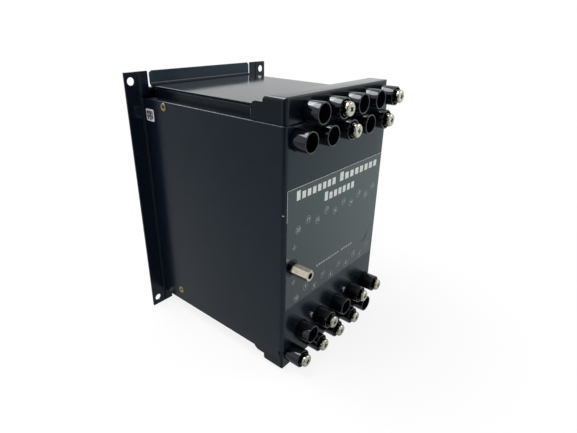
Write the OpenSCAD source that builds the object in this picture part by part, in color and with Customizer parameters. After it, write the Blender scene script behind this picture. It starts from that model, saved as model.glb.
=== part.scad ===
// Protection relay in a draw-out case for panel mounting, in millimetres.
// The origin is the centre of the four panel bolt holes, on the rear face of the flange.
// +Z is up, the cover faces -Y and the rear terminals face +Y.

/* [Case] */
// Width over the two sides of the folded case
case_w = 139.4; // [134:0.2:146]
// Depth from the rear of the flange to the rear panel
case_d = 159.5; // [150:0.5:175]
// Thickness of the case sheet
sheet_t = 1.5; // [1:0.1:2]
// Outer radius of the two rear corner bends
corner_r = 3.5; // [3:0.1:5]
// Inner radius of the bend between side and flange
flange_bend = 0.8; // [0.5:0.1:3]
// Upper edge of the sides and rear panel, above the centre
wrap_top = 93.1; // [91.5:0.1:94]
// Lower edge of the sides, below the centre
wrap_low = 101.3; // [99:0.1:104]

/* [Flange] */
// Width over the two side flanges
flange_w = 168.3; // [166:0.1:174]
// Height over the flanges
flange_h = 228.6; // [224:0.2:236]
// Distance of the bolt holes from the side edges of the flange
hole_edge_x = 5.75; // [5.2:0.05:6.5]
// Distance of the bolt holes from the top and bottom edges of the flange
hole_edge_z = 7.4; // [6:0.1:9]
// Diameter of the bolt holes
hole_d = 6.5; // [5:0.1:7]
// Gap between a corner ear and the folded top flange
ear_gap = 1.8; // [1:0.1:4]

/* [Top and bottom plates] */
// Outer face of the top plate, above the centre
plate_z = 102.4; // [101.5:0.1:104]
// Width of the top plate
plate_w = 119.2; // [117:0.2:121]
// Inner radius of the bend between plate and front flange
plate_bend = 2.5; // [1.5:0.1:4]

/* [Terminals] */
// Spacing of the barrels along a row
pitch = 25.4; // [24.8:0.1:25.8]
// Height of the outer row above the centre
row_outer = 100.2; // [99.6:0.1:101.5]
// Height of the inner row above the centre
row_inner = 82.9; // [82:0.1:83.5]
// Outer diameter of a barrel
barrel_od = 15.4; // [14:0.1:16]
// Inner diameter of a barrel
barrel_id = 13.2; // [12:0.1:13.6]
// How far a barrel stands out of the rear panel
barrel_out = 12.7; // [10:0.1:20]
// Nominal diameter of the terminal screws
screw_d = 4.8; // [4:0.1:5]
// Diameter of a terminal screw's head
head_d = 10.6; // [9:0.1:11.4]
// Height of a terminal screw's head
head_h = 5.4; // [4:0.1:6.5]
// How far the heads stand out of the barrel mouths
head_out = 5; // [3:0.1:8]

/* [Terminal block] */
// Top of the bar across the rear of the block, above the centre
bar_z = 111.2; // [109.5:0.1:112]
// Bottom of the bar of the lower block, below the centre
lower_bar_z = 113.6; // [109.5:0.1:114.2]
// Depth of that bar
bar_d = 20; // [15:0.5:22]
// Top of the stepped shoulders in front of the bar
shoulder_z = 106.5; // [105:0.1:108]
// Depth of the shoulders
shoulder_d = 11.8; // [10:0.1:14]
// Radius of the front edge of the bar
bar_r = 4.2; // [2:0.1:4.6]
// Radius of the front edge of the shoulders
shoulder_r = 6.2; // [3:0.1:8]
// Radius of the upright rear corners of the block
block_r = 4; // [3:0.1:5]

/* [Ground stud] */
// Across flats of the hexagonal stud
stud_af = 8.2; // [7.6:0.1:11]
// Length of the stud behind the rear panel
stud_l = 18; // [14:0.5:24]
// Depth of its tapped hole
stud_tap = 12; // [8:0.5:13]

/* [Draw-out chassis] */
// Width over the chassis sides
cradle_w = 123.8; // [122:0.2:124.4]
// Height of the chassis sides
cradle_h = 158.8; // [156:0.2:159.6]
// Depth of the chassis behind the front panel
cradle_d = 118; // [112:0.5:121]
// Thickness of the chassis sheet
cradle_t = 1.5; // [1:0.1:2]
// Thickness of the front panel
panel_t = 1.6; // [1:0.1:2.5]

/* [Cover] */
// Width over the rim of the cover
cover_w = 149.2; // [148:0.2:152]
// Height over the rim of the cover
cover_h = 200.8; // [199:0.2:202]
// Width of the hood of the cover
hood_w = 138; // [136:0.2:144]
// Height of the hood of the cover
hood_h = 192; // [191:0.2:195]
// How far the cover stands out from the flange
cover_out = 23; // [22.5:0.5:30]
// Wall of the cover
cover_wall = 3; // [2:0.1:3.2]
// Width of the window opening
window_w = 90; // [80:1:92]
// Height of the window opening
window_h = 150; // [130:1:152]

/* [Controls] */
// Diameter of the two setting knobs
knob_d = 24; // [20:0.5:28]
// Diameter of the test buttons
button_d = 8; // [6:0.1:9]
// Travel of the test buttons
button_travel = 2.5; // [1.5:0.1:2.8]
// Travel of the target reset rod
reset_travel = 3; // [2:0.1:3.4]

/* [Hidden] */
$fn = 48;

// Shared clearances
fit = 0.02;
running = 0.05;
apart = 0.3;

// Case
side_x = case_w / 2;
inner_x = side_x - sheet_t;
rear_y = case_d;
block_rear = case_d - sheet_t;
plate_low = plate_z - sheet_t;
flange_lap = 0.4;
ear_in = plate_w / 2 + flange_lap + ear_gap;
ear_relief = 0.8;
rear_low = wrap_top;
hole_dx = flange_w - 2 * hole_edge_x;
hole_dz = flange_h - 2 * hole_edge_z;
corner_notch = corner_r + 0.4;
flange_corner_r = 3;

// Rails that carry the plates on the sides
rail_t = 1.8;
rail_edge_r = 1.6;
rail_pad = 6;
rail_front = 5;
rail_out = plate_w / 2;
ledge_z = wrap_top - 0.2;
lip_low = 84.4;
eyelet_y = 29.3;
eyelet_z = 88.8;
eyelet_r = 1.9;
eyelet_rim = 3.3;
eyelet_rim_t = 0.6;
eyelet_bore = 1.4;
eyelet_curl = 0.3;

// Terminal blocks
bar_front = block_rear - bar_d;
block_front = bar_front - shoulder_d;
block_low = 70;
shoulder_in = plate_w / 2 + 0.6;
bar_edge_r = 1.6;
bar_end_r = 3;
chassis_gap = 3;
relief_y = max(block_front, cradle_d + chassis_gap);
rail_rear = block_front - 1.4;
insert_r = 4.2;
insert_l = 12;
barrel_gap = 0.6;
mouth_y = rear_y + barrel_out;
screw_l = 21;
head_round = 2;
recess_l = 5.2;
recess_w = 1.2;
recess_depth = 1.8;
recess_turn = 20;
tap_depth = 10;
block_screw_z = 75.7;
block_screw_r = 1.5;
block_head_r = 2.6;
block_head_h = 2;
block_head_round = 1.4;
block_screw_l = 12;
upper_outer_fitted = [1, 4];
upper_inner_fitted = [2, 4];
lower_outer_fitted = [1, 2, 3, 4];
lower_inner_fitted = [0, 1, 3];

// Ground stud
stud_x = 60;
stud_z = -16;
stud_neck_r = 3;
nut_af = 11;
nut_h = 4.5;

// Label and sticker
label_t = 0.2;
label_w = 133.2;
label_top = 47.8;
label_low = -52.6;
label_hole_r = 7.2;
sticker_y = [3.8, 14.6];
sticker_z = [74.4, 84.6];
sticker_t = 0.15;

// Contacts: ten columns at half the barrel pitch
column = pitch / 2;
columns = 10;
strap_w = 5;
strap_t = 1;
strap_low = 87.4;
strap_front = 7;
strap_curl = 2;
blade_back = 13;
contact_gap = 0.6;
contact_d = 12;
contact_y = [blade_back + contact_gap, blade_back + contact_gap + contact_d];
barrier_w = 2;
barrier_drop = 3.8;
finger_top = strap_low - 2 * apart - 2.8;
finger_t = 1;
blade_z = [finger_top + apart, strap_low - apart];

// Chassis
cradle_x = cradle_w / 2;
cradle_in = cradle_x - cradle_t;
cradle_z = cradle_h / 2;
cradle_r = 3;
tongue_out = 3.9;
slide_front = 6;
tongue_back = 8;
tongue_y = [slide_front, cradle_d - tongue_back];
runner_gap = 0.4;
runner_in = cradle_x + 1.3;
runner_back = 6;
runner_y = [slide_front, cradle_d - runner_back];
runner_wall = 3;
window_r = 20;
window_web = 6;
side_window_y = [for (s = [-1, 1]) cradle_d / 2 + s * (window_r + window_web / 2)];
panel_w = cradle_w + 1.2;
panel_h = 157;
finger_block_y = 14;
finger_block_low = 68;
finger_inset = 1;
board_t = 1.6;
board_y = 14;
board_edge = 4.4;
control_w = 2 * (cradle_in - board_edge);
control_h = 132;
board_x = 30;
board_back = 4.5;
board_front = 18;
board_h = 128;
core_back = cradle_d - cradle_t;
core_w = 24;
core_d = 42;
core_h = 50;
core_leg = 7;
coil_w = 44;
standoff_r = 3;
front_post = [42, 62];
board_end = cradle_d - cradle_t - board_back;
post_front = 6;
post_back = 8;
side_post_y = [board_front + post_front, board_end - post_back];
part_y = [for (k = [1, 3, 5]) board_front + (board_end - board_front) * k / 6];
chip_l = 18;
chip_w = 8;
chip_h = 3.6;
chip_z = [-36, 0, 30];
capacitor_r = 8;
capacitor_l = 22;
capacitor_z = -26;
can_l = 22;
can_w = 28;
can_h = 20;
can_z = 14;
side_post_z = 52;

// Controls on the front panel
knob_x = 28;
knob_z = 30;
knob_h = 12.5;
knob_gap = 0.6;
knob_skirt = 4;
knob_step = 3.5;
pointer_w = 4.8;
pointer_inset = 0.5;
line_w = 1;
line_depth = 0.8;
shaft_r = 3;
shaft_in = 10;
pot_r = 11;
button_x = [-28, 0];
button_z = -25;
button_out = 4.4;
button_in = 2;
button_edge = 1;
switch_w = 12;
reset_x = 54;
reset_z = -52;
reset_button_r = 3.5;
reset_out = 6.7;
target_x = 14;
target_z = -55;
target_y = 6.5;
flag_s = 7;
flag_l = 9;
flag_pin_r = 1;
flag_pin_l = 1.7;
target_gap = 0.5;
target_wall = 1.4;
led_z = 60;
led_x = 28;
led_r = 2.5;
led_out = 1.4;
screw_post = [50, 75];
panel_head_r = 2.6;
panel_head_h = 2;
panel_screw_r = 1.5;
panel_screw_l = 8;

// Plugs
plug_w = 120;
plug_travel = 10;
plug_z = [80.3, 92];
grip_r = 5;
grip_n = 5;
grip_y = 3;
grip_depth = 2;
grip_l = 8;
plug_edge_r = 3;
plug_gap = 0.5;
plug_back = -3;

// Cover, held on two posts of the chassis
cover_front = -sheet_t - cover_out;
cover_back = -2.8;
cover_r = 6;
rim_t = 4.2;
hood_in_r = cover_r - cover_wall + 0.6;
window_corner_r = 5;
pane_corner_r = 4;
plug_y = [cover_front + cover_wall + plug_travel + plug_gap, plug_back];
pane_lap = 3;
pane_t = 2.5;
gasket_w = 2.6;
gasket_inset = 0.2;
post_x = 55;
post_af = 8;
post_r = 2.4;
post_in = 3;
post_clear = 0.5;
nut_r = 8;
nut_len = 9.7;
nut_teeth = 28;
nut_tooth = 0.6;
nut_lead = 0.7;
post_end = cover_front - nut_len + nut_lead;
rod_r = 3;
rod_cap_r = 5;
rod_cap_l = 6;
rod_ring_r = 4.4;
rod_ring_t = 1;
rod_gap = 2;

case_paint = [0.13, 0.14, 0.15];
moulding = [0.08, 0.08, 0.09];
brass = [0.78, 0.62, 0.30];
nickel = [0.75, 0.72, 0.66];
zinc = [0.70, 0.71, 0.72];
board_green = [0.10, 0.30, 0.18];

// A box between limits on each axis
module slab(x, y, z) {
    translate([x[0], y[0], z[0]])
        cube([x[1] - x[0], y[1] - y[0], z[1] - z[0]]);
}

// A round bar along the depth, between two limits
module rod_y(r, y) {
    translate([0, y[0], 0])
        rotate([-90, 0, 0])
            cylinder(r = r, h = y[1] - y[0]);
}

// A round bar across, between two limits
module rod_x(r, x) {
    translate([x[0], 0, 0])
        rotate([0, 90, 0])
            cylinder(r = r, h = x[1] - x[0]);
}

// A hexagonal bar along the depth
module hex_y(af, y) {
    translate([0, y[0], 0])
        rotate([-90, 0, 0])
            cylinder(d = af / cos(30), h = y[1] - y[0], $fn = 6);
}

// Extrudes a (depth, height) profile across, between two limits
module along_x(x) {
    translate([x[0], 0, 0])
        rotate([90, 0, 90])
            linear_extrude(x[1] - x[0])
                children();
}

// Extrudes a (width, height) profile along the depth, between two limits
module along_y(y) {
    translate([0, y[1], 0])
        rotate([90, 0, 0])
            linear_extrude(y[1] - y[0])
                children();
}

// Repeats a piece on the mirrored side
module both_sides() {
    children();
    mirror([1, 0, 0])
        children();
}

// Turns a piece of the upper end round to the lower end
module lower() {
    rotate([0, 180, 0])
        children();
}

// A quarter of a bent sheet's section
module quarter_bend(r, t) {
    intersection() {
        difference() {
            circle(r + t);
            circle(r);
        }
        square(r + t);
    }
}

// A rectangle with its two upper corners rounded
module arched(x, y, r) {
    translate([x[0], y[0]])
        square([x[1] - x[0], y[1] - y[0] - r]);
    translate([x[0] + r, y[0]])
        square([x[1] - x[0] - 2 * r, y[1] - y[0]]);
    for (c = [x[0] + r, x[1] - r])
        translate([c, y[1] - r])
            circle(r);
}

// A rectangle about the centre with all four corners rounded
module rounded(w, h, r) {
    square([w - 2 * r, h], center = true);
    square([w, h - 2 * r], center = true);
    for (sx = [-1, 1], sy = [-1, 1])
        translate([sx * (w / 2 - r), sy * (h / 2 - r)])
            circle(r);
}

// Barrel places along the two rows of the upper end
function outer_x(i) = (1.75 - i) * pitch;
function inner_row_x(i) = (2.25 - i) * pitch;
module at_terminals(outer = [0 : 4], inner = [0 : 4]) {
    for (i = outer)
        translate([outer_x(i), 0, row_outer])
            children();
    for (i = inner)
        translate([inner_row_x(i), 0, row_inner])
            children();
}

// Fixing screws of a block, midway between barrels
module at_block_screws() {
    for (x = [-1.25 * pitch, 0.75 * pitch])
        translate([x, 0, block_screw_z])
            children();
}

// Places of the ten contact columns
module at_columns() {
    for (i = [0 : columns - 1])
        translate([(i - (columns - 1) / 2) * column, 0, 0])
            children();
}

// Repeats a piece at the four tubular rivets, along the outward side direction
module at_eyelets() {
    for (sx = [0, 1], sz = [-1, 1])
        mirror([sx, 0, 0])
            translate([0, eyelet_y, sz * eyelet_z])
                children();
}

// Sides and rear panel in one folded sheet, seen from above
module wrap_section() {
    translate([side_x + flange_bend, flange_bend])
        rotate(180)
            quarter_bend(flange_bend, sheet_t);
    translate([inner_x, flange_bend])
        square([sheet_t, case_d - corner_r - flange_bend]);
    translate([side_x - corner_r, case_d - corner_r])
        quarter_bend(corner_r - sheet_t, sheet_t);
    translate([0, block_rear])
        square([side_x - corner_r, sheet_t]);
}

// Side flange with its two corner ears
module flange_outline() {
    x0 = side_x + flange_bend;
    x1 = flange_w / 2;
    z1 = flange_h / 2;
    za = wrap_top + ear_relief;
    zb = -wrap_low - ear_relief;
    polygon([[x0, zb], [ear_in, zb], [ear_in, -z1], [x1, -z1],
        [x1, z1], [ear_in, z1], [ear_in, za], [x0, za]]);
}

module case_wrap() {
    color(case_paint)
        difference() {
            both_sides() {
                translate([0, 0, -wrap_low])
                    linear_extrude(wrap_top + wrap_low)
                        wrap_section();
                along_y([-sheet_t, 0])
                    flange_outline();
            }
            slab([-case_w, case_w], [case_d - corner_notch, case_d + 1], [-wrap_low - 1, -rear_low]);
            for (sx = [-1, 1], sz = [-1, 1])
                translate([sx * hole_dx / 2, 0, sz * hole_dz / 2])
                    rod_y(hole_d / 2, [-sheet_t - 1, 1]);
            at_terminals()
                rod_y(barrel_od / 2 + barrel_gap, [block_rear - 1, rear_y + 1]);
            lower()
                at_terminals()
                    rod_y(barrel_od / 2 + barrel_gap, [block_rear - 1, rear_y + 1]);
            at_block_screws()
                rod_y(block_screw_r + fit, [block_rear - 1, rear_y + 1]);
            lower()
                at_block_screws()
                    rod_y(block_screw_r + fit, [block_rear - 1, rear_y + 1]);
            translate([stud_x, 0, stud_z])
                rod_y(stud_neck_r + fit, [block_rear - 1, rear_y + 1]);
            at_eyelets()
                rod_x(eyelet_r + fit, [inner_x - 1, side_x + 1]);
        }
}

// Flat plate with its front edge folded up into the flange
module end_plate() {
    lap_x = plate_w / 2 + flange_lap;
    color(case_paint)
        intersection() {
            along_x([-lap_x, lap_x]) {
                translate([plate_bend, plate_low])
                    square([bar_front - apart - plate_bend, sheet_t]);
                translate([plate_bend, plate_z + plate_bend])
                    rotate(180)
                        quarter_bend(plate_bend, sheet_t);
                translate([-sheet_t, plate_z + plate_bend])
                    square([sheet_t, flange_h / 2 - plate_z - plate_bend]);
            }
            union() {
                along_y([-sheet_t - 1, plate_bend])
                    arched([-lap_x, lap_x], [plate_low - 1, flange_h / 2], flange_corner_r);
                slab([-plate_w / 2, plate_w / 2], [0, case_d], [plate_low - 1, plate_z + plate_bend]);
            }
        }
}

module top_plate() {
    end_plate();
}

module bottom_plate() {
    lower()
        end_plate();
}

// Stepped rail: a pad under the plate, a web, a ledge and a lip riveted inside the side
module rail_section() {
    translate([rail_out - rail_t, ledge_z - rail_t])
        square([rail_t, plate_low - rail_edge_r - ledge_z + rail_t]);
    translate([rail_out - rail_pad, plate_low - rail_t])
        square([rail_pad - rail_edge_r, rail_t]);
    translate([rail_out - rail_edge_r, plate_low - rail_edge_r])
        circle(rail_edge_r);
    translate([rail_out - rail_t, ledge_z - rail_t])
        square([inner_x - rail_out + rail_t, rail_t]);
    translate([inner_x - rail_t, lip_low])
        square([rail_t, ledge_z - lip_low]);
}

module rail_pair() {
    color(moulding)
        difference() {
            both_sides()
                along_y([rail_front, rail_rear])
                    rail_section();
            at_eyelets()
                rod_x(eyelet_r + fit, [inner_x - rail_t - 1, side_x + 1]);
        }
}

module upper_rails() {
    rail_pair();
}

module lower_rails() {
    lower()
        rail_pair();
}

// Moulded block: bar across the rear, stepped shoulders at both ends, seats for the inserts
module terminal_block(top) {
    color(moulding)
        difference() {
            intersection() {
                union() {
                    along_x([-inner_x, inner_x]) {
                        translate([block_front, block_low])
                            square([bar_d + shoulder_d, plate_low - block_low]);
                        arched([bar_front, block_rear], [block_low, top], bar_r);
                        arched([bar_front + bar_r, block_rear], [block_low, top], bar_edge_r);
                    }
                    both_sides()
                        along_x([shoulder_in, inner_x])
                            arched([block_front, block_rear], [block_low, shoulder_z], shoulder_r);
                }
                linear_extrude(top + 1)
                    arched([-inner_x, inner_x], [block_front - 1, block_rear], block_r);
                along_y([block_front - 1, block_rear + 1])
                    arched([-inner_x, inner_x], [block_low - 1, top], bar_end_r);
            }
            slab([-cradle_x - apart, cradle_x + apart], [block_front - 1, relief_y],
                [block_low - 1, cradle_z + apart]);
            at_terminals()
                rod_y(insert_r + fit, [block_rear - insert_l, block_rear + 1]);
            at_block_screws()
                rod_y(block_screw_r + fit, [rear_y - block_screw_l, block_rear + 1]);
        }
}

module upper_terminal_block() {
    terminal_block(bar_z);
}

module lower_terminal_block() {
    lower()
        terminal_block(lower_bar_z);
}

// Insulating barrels round the terminals
module barrel_group() {
    color(moulding)
        at_terminals()
            difference() {
                rod_y(barrel_od / 2, [block_rear, mouth_y]);
                rod_y(barrel_id / 2, [block_rear - 1, mouth_y + 1]);
            }
}

module upper_barrels() {
    barrel_group();
}

module lower_barrels() {
    lower()
        barrel_group();
}

// Tapped brass inserts at the foot of every barrel
module insert_group() {
    at_terminals()
        difference() {
            rod_y(insert_r, [block_rear - insert_l, block_rear]);
            rod_y(screw_d / 2 + fit, [block_rear - tap_depth, block_rear + 1]);
        }
}

module terminal_inserts() {
    color(brass) {
        insert_group();
        lower()
            insert_group();
    }
}

// Pan head with a cross recess, on its shank
module terminal_screw() {
    seat = mouth_y + head_out - head_h;
    difference() {
        translate([0, seat, 0])
            rotate([-90, 0, 0])
                rotate_extrude()
                    intersection() {
                        arched([-head_d / 2, head_d / 2], [0, head_h], head_round);
                        square([head_d, head_h]);
                    }
        for (a = [0, 90])
            rotate([0, recess_turn + a, 0])
                slab([-recess_l / 2, recess_l / 2], [seat + head_h - recess_depth, seat + head_h + 1],
                    [-recess_w / 2, recess_w / 2]);
    }
    rod_y(screw_d / 2, [seat - screw_l, seat]);
}

module terminal_screws() {
    color(nickel) {
        at_terminals(upper_outer_fitted, upper_inner_fitted)
            terminal_screw();
        lower()
            at_terminals(lower_outer_fitted, lower_inner_fitted)
                terminal_screw();
    }
}

module block_screw_pair() {
    at_block_screws() {
        translate([0, rear_y, 0])
            rotate([-90, 0, 0])
                rotate_extrude()
                    intersection() {
                        arched([-block_head_r, block_head_r], [0, block_head_h], block_head_round);
                        square([block_head_r, block_head_h]);
                    }
        rod_y(block_screw_r, [rear_y - block_screw_l, rear_y]);
    }
}

module block_screws() {
    color(nickel) {
        block_screw_pair();
        lower()
            block_screw_pair();
    }
}

// Hexagonal earth stud with a chamfered, tapped end
module ground_stud() {
    color(nickel)
        translate([stud_x, 0, stud_z])
            difference() {
                union() {
                    intersection() {
                        hex_y(stud_af, [rear_y, rear_y + stud_l]);
                        translate([0, rear_y + stud_l, 0])
                            rotate([90, 0, 0])
                                cylinder(r1 = stud_af / 2, r2 = stud_af / 2 + stud_l, h = stud_l);
                    }
                    rod_y(stud_neck_r, [block_rear - nut_h - 1, rear_y]);
                }
                rod_y(screw_d / 2 + fit, [rear_y + stud_l - stud_tap, rear_y + stud_l + 1]);
            }
}

module ground_nut() {
    color(zinc)
        translate([stud_x, 0, stud_z])
            difference() {
                hex_y(nut_af, [block_rear - nut_h, block_rear]);
                rod_y(stud_neck_r + fit, [block_rear - nut_h - 1, block_rear + 1]);
            }
}

// Tubular rivets through the sides and the lips of the rails
module side_eyelets() {
    color(brass)
        at_eyelets()
            difference() {
                union() {
                    rod_x(eyelet_r, [inner_x - rail_t, side_x]);
                    rod_x(eyelet_rim, [side_x, side_x + eyelet_rim_t]);
                    rod_x(eyelet_r + eyelet_curl, [inner_x - rail_t - eyelet_rim_t, inner_x - rail_t]);
                }
                rod_x(eyelet_bore, [inner_x - rail_t - 2, side_x + 2]);
            }
}

// Film label on the rear panel, cut out round the earth stud
module rear_label() {
    color([0.17, 0.20, 0.20])
        difference() {
            slab([-label_w / 2, label_w / 2], [rear_y, rear_y + label_t], [label_low, label_top]);
            translate([stud_x, 0, stud_z])
                rod_y(label_hole_r, [rear_y - 1, rear_y + 1]);
        }
}

module side_sticker() {
    color("white")
        slab([side_x, side_x + sticker_t], sticker_y, sticker_z);
}

// Moulded bar that holds the front ends of the straps, with barriers between them
module contact_block() {
    foot_x = rail_out;
    foot_z = ledge_z - rail_t - apart;
    neck_x = rail_out - rail_pad - apart;
    color(moulding) {
        slab([-foot_x, foot_x], contact_y, [strap_low + strap_t, foot_z]);
        slab([-neck_x, neck_x], contact_y, [foot_z, plate_low]);
        for (i = [-4 : 4])
            translate([i * column, 0, 0])
                slab([-barrier_w / 2, barrier_w / 2], contact_y,
                    [strap_low - barrier_drop + strap_t, strap_low + strap_t]);
    }
}

module upper_contact_block() {
    contact_block();
}

module lower_contact_block() {
    lower()
        contact_block();
}

// Ten stamped straps from the terminal block to the front, with curled lead-in ends
module strap_row() {
    at_columns()
        along_x([-strap_w / 2, strap_w / 2]) {
            translate([strap_front, strap_low])
                square([block_front - strap_front, strap_t]);
            translate([strap_front, strap_low + strap_t + strap_curl])
                rotate(180)
                    quarter_bend(strap_curl, strap_t);
        }
}

module contact_straps() {
    color(brass) {
        strap_row();
        lower()
            strap_row();
    }
}

// Four grooved runners on the case sides that guide the chassis
module guide_runners() {
    groove_z = [cradle_z - cradle_t - runner_gap, cradle_z + runner_gap];
    color([0.85, 0.84, 0.78])
        for (sx = [0, 1], sz = [0, 1])
            mirror([sx, 0, 0])
                mirror([0, 0, sz])
                    difference() {
                        slab([runner_in, inner_x], runner_y,
                            [groove_z[0] - runner_wall, groove_z[1] + runner_wall]);
                        slab([runner_in - 1, cradle_x + tongue_out + runner_gap],
                            [runner_y[0] - 1, runner_y[1] + 1], groove_z);
                    }
}

// Folded chassis: two sides and a rear wall, with tongues along the side edges
module cradle() {
    color(zinc)
        difference() {
            both_sides() {
                translate([0, 0, -cradle_z])
                    linear_extrude(cradle_h) {
                        translate([cradle_in, 0])
                            square([cradle_t, cradle_d - cradle_r]);
                        translate([cradle_x - cradle_r, cradle_d - cradle_r])
                            quarter_bend(cradle_r - cradle_t, cradle_t);
                        translate([0, cradle_d - cradle_t])
                            square([cradle_x - cradle_r, cradle_t]);
                    }
                for (z = [-cradle_z, cradle_z - cradle_t])
                    slab([cradle_x, cradle_x + tongue_out], tongue_y, [z, z + cradle_t]);
            }
            for (y = side_window_y)
                translate([0, y, 0])
                    rod_x(window_r, [-cradle_w, cradle_w]);
        }
}

// Front panel with openings for the controls, targets and indicators
module front_panel() {
    through = [-panel_t - 1, 1];
    color([0.16, 0.17, 0.18])
        difference() {
            slab([-panel_w / 2, panel_w / 2], [-panel_t, 0], [-panel_h / 2, panel_h / 2]);
            for (x = [-knob_x, knob_x])
                translate([x, 0, knob_z])
                    rod_y(shaft_r + running, through);
            for (x = button_x)
                translate([x, 0, button_z])
                    rod_y(button_d / 2 + running, through);
            translate([reset_x, 0, reset_z])
                rod_y(reset_button_r + running, through);
            for (x = [-target_x, target_x])
                translate([x, 0, target_z])
                    slab([-flag_l / 2, flag_l / 2], through, [-flag_s / 2, flag_s / 2]);
            for (x = [-led_x, 0, led_x])
                translate([x, 0, led_z])
                    rod_y(led_r + fit, through);
            for (x = [-post_x, post_x])
                translate([x, 0, 0])
                    rod_y(post_r + fit, through);
            for (x = [-screw_post[0], screw_post[0]], z = [-screw_post[1], screw_post[1]])
                translate([x, 0, z])
                    rod_y(panel_screw_r + fit, through);
        }
}

module panel_screws() {
    color(nickel)
        for (x = [-screw_post[0], screw_post[0]], z = [-screw_post[1], screw_post[1]])
            translate([x, 0, z]) {
                rod_y(panel_head_r, [-panel_t - panel_head_h, -panel_t]);
                rod_y(panel_screw_r, [-panel_t, panel_screw_l]);
            }
}

// Moulded bar across the chassis that carries its ten contact fingers
module finger_block() {
    color(moulding)
        difference() {
            slab([-cradle_in, cradle_in], [0, finger_block_y], [finger_block_low, finger_top - finger_t]);
            for (x = [-screw_post[0], screw_post[0]])
                translate([x, 0, screw_post[1]])
                    rod_y(panel_screw_r + fit, [-1, panel_screw_l]);
        }
}

module upper_finger_block() {
    finger_block();
}

module lower_finger_block() {
    lower()
        finger_block();
}

module finger_row() {
    at_columns()
        slab([-strap_w / 2, strap_w / 2], [finger_inset, finger_block_y - finger_inset],
            [finger_top - finger_t, finger_top]);
}

module contact_fingers() {
    color(brass) {
        finger_row();
        lower()
            finger_row();
    }
}

module control_board() {
    color(board_green)
        slab([-control_w / 2, control_w / 2], [board_y, board_y + board_t], [-control_h / 2, control_h / 2]);
}

module side_board() {
    slab([board_x, board_x + board_t], [board_front, board_end], [-board_h / 2, board_h / 2]);
}

module logic_board() {
    color(board_green)
        side_board();
}

module power_board() {
    color(board_green)
        mirror([1, 0, 0])
            side_board();
}

module front_standoffs() {
    color(nickel)
        for (x = [-front_post[0], front_post[0]], z = [-front_post[1], front_post[1]])
            translate([x, 0, z])
                rod_y(standoff_r, [0, board_y]);
}

module side_standoffs() {
    color(nickel)
        both_sides()
            for (y = side_post_y, z = [-side_post_z, side_post_z])
                translate([0, y, z])
                    rod_x(standoff_r, [board_x + board_t, cradle_in]);
}

// Logic packages on the outer face of the logic board
module chips() {
    color([0.06, 0.06, 0.07])
        for (y = part_y, z = chip_z)
            translate([board_x + board_t, y, z])
                slab([0, chip_h], [-chip_l / 2, chip_l / 2], [-chip_w / 2, chip_w / 2]);
}

module capacitors() {
    color([0.12, 0.16, 0.34])
        for (y = part_y)
            translate([0, y, capacitor_z])
                mirror([1, 0, 0])
                    rod_x(capacitor_r, [board_x + board_t, board_x + board_t + capacitor_l]);
}

module relay_cans() {
    color([0.62, 0.60, 0.52])
        for (y = part_y)
            translate([0, y, can_z])
                mirror([1, 0, 0])
                    slab([board_x + board_t, board_x + board_t + can_h], [-can_l / 2, can_l / 2],
                        [-can_w / 2, can_w / 2]);
}

// Laminated core with two windows round the coil's leg
module transformer_core() {
    color([0.30, 0.31, 0.33])
        difference() {
            slab([-core_w / 2, core_w / 2], [core_back - core_d, core_back], [-core_h / 2, core_h / 2]);
            for (s = [0, 1])
                mirror([0, 0, s])
                    slab([-core_w, core_w], [core_back - core_d + core_leg, core_back - core_leg],
                        [core_leg, core_h / 2 - core_leg]);
        }
}

module transformer_coil() {
    coil_y = [core_back - core_d + core_leg + apart, core_back - core_leg - apart];
    coil_z = core_h / 2 - core_leg - apart;
    color([0.72, 0.60, 0.28])
        difference() {
            slab([-coil_w / 2, coil_w / 2], coil_y, [-coil_z, coil_z]);
            slab([-core_w / 2, core_w / 2], [coil_y[0] - 1, coil_y[1] + 1], [-core_leg, core_leg]);
        }
}

module setting_pots() {
    color(zinc)
        for (x = [-knob_x, knob_x])
            translate([x, 0, knob_z])
                difference() {
                    rod_y(pot_r, [0, board_y]);
                    rod_y(shaft_r + running, [-1, shaft_in + 1]);
                }
}

// Switch bodies on the control board behind the push buttons
module switch_bodies() {
    color([0.10, 0.10, 0.11]) {
        for (x = button_x)
            translate([x, 0, button_z])
                slab([-switch_w / 2, switch_w / 2], [button_in + button_travel + apart, board_y],
                    [-switch_w / 2, switch_w / 2]);
        translate([reset_x, 0, reset_z])
            slab([-switch_w / 2, switch_w / 2], [button_in + reset_travel + apart, board_y],
                [-switch_w / 2, switch_w / 2]);
    }
}

// Open-fronted housings that bear the target drums
module target_housings() {
    half_x = flag_l / 2 + target_gap;
    half_z = flag_s / sqrt(2) + 2 * apart;
    wall = target_wall;
    color([0.12, 0.12, 0.13])
        for (x = [-target_x, target_x])
            translate([x, 0, target_z])
                difference() {
                    slab([-half_x - wall, half_x + wall], [0, board_y], [-half_z - wall, half_z + wall]);
                    slab([-half_x, half_x], [-1, board_y - wall], [-half_z, half_z]);
                    translate([0, target_y, 0])
                        rod_x(flag_pin_r + running, [-half_x - wall - 1, half_x + wall + 1]);
                }
}

module led_lenses() {
    color([0.75, 0.12, 0.10])
        for (x = [-led_x, 0, led_x])
            translate([x, 0, led_z]) {
                rod_y(led_r, [-panel_t - led_out, board_y]);
                translate([0, -panel_t - led_out, 0])
                    sphere(led_r);
            }
}

// Hexagonal posts with threaded ends for the thumb nuts
module cover_posts() {
    color(nickel)
        for (x = [-post_x, post_x])
            translate([x, 0, 0]) {
                hex_y(post_af, [cover_front + cover_wall + 2 * apart, -panel_t]);
                rod_y(post_r, [post_end, cover_front + cover_wall + 2 * apart]);
                rod_y(post_r, [-panel_t, post_in]);
            }
}

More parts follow.
